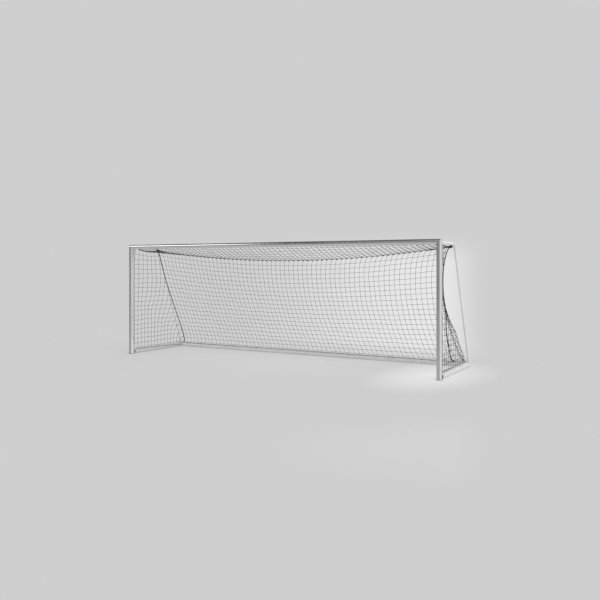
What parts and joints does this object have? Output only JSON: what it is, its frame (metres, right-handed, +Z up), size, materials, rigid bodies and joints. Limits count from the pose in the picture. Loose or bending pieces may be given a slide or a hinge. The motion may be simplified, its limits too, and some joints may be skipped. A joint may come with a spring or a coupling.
{
  "type": "soccer goal",
  "caption": "Full-size free-standing soccer goal: oval frame with a ground frame, bent rear brackets and a net hung from ropes.",
  "frame": {"origin": "middle of the footprint on the ground", "axes": "+X along the crossbar to the right as seen from the field, +Y from the mouth to the rear, +Z up"},
  "size_m": [7.54, 1.915, 2.54],
  "materials": {
    "bar": "satin anodised extrusion",
    "bracket_tube": "satin white paint",
    "casting": "as cast",
    "fastener": "zinc plated",
    "black_plastic": "moulded, matte",
    "net_cord": "knotted braided cord",
    "rope": "laid rope"
  },
  "bodies": {
    "root": {"crossbar": "bar", "left_post": "bar", "right_post": "bar", "left_side_rail": "bar", "right_side_rail": "bar", "rear_ground_bar": "bar", "left_top_connector": "casting", "right_top_connector": "casting", "left_rear_connector": "casting", "right_rear_connector": "casting", "left_crossbar_screw": "fastener", "right_crossbar_screw": "fastener", "left_post_screw": "fastener", "right_post_screw": "fastener", "left_rear_bar_screw": "fastener", "right_rear_bar_screw": "fastener", "left_rail_screw": "fastener", "right_rail_screw": "fastener", "left_post_foot": "black_plastic", "right_post_foot": "black_plastic", "left_rail_flange": "casting", "right_rail_flange": "casting", "left_rail_flange_upper_bolt": "fastener", "right_rail_flange_upper_bolt": "fastener", "left_rail_flange_lower_bolt": "fastener", "right_rail_flange_lower_bolt": "fastener", "left_net_bracket": "bracket_tube", "right_net_bracket": "bracket_tube", "left_arm_flange": "casting", "right_arm_flange": "casting", "left_arm_flange_upper_bolt": "fastener", "right_arm_flange_upper_bolt": "fastener", "left_arm_flange_lower_bolt": "fastener", "right_arm_flange_lower_bolt": "fastener", "left_bracket_shoe": "casting", "right_bracket_shoe": "casting", "left_shoe_rail_bolt": "fastener", "right_shoe_rail_bolt": "fastener", "left_shoe_rear_bolt": "fastener", "right_shoe_rear_bolt": "fastener", "left_net_hanger": "casting", "right_net_hanger": "casting", "crossbar_hook_strip": "black_plastic", "left_post_hook_strip": "black_plastic", "right_post_hook_strip": "black_plastic", "left_rail_hook_strip": "black_plastic", "right_rail_hook_strip": "black_plastic", "rear_hook_strip": "black_plastic", "top_net": "net_cord", "back_net": "net_cord", "left_side_net": "net_cord", "right_side_net": "net_cord", "rear_top_rope": "rope", "rear_bar_rope": "rope", "left_rail_rope": "rope", "right_rail_rope": "rope", "left_corner_rope": "rope", "right_corner_rope": "rope", "left_side_rope": "rope", "right_side_rope": "rope"}
  },
  "joints": []
}
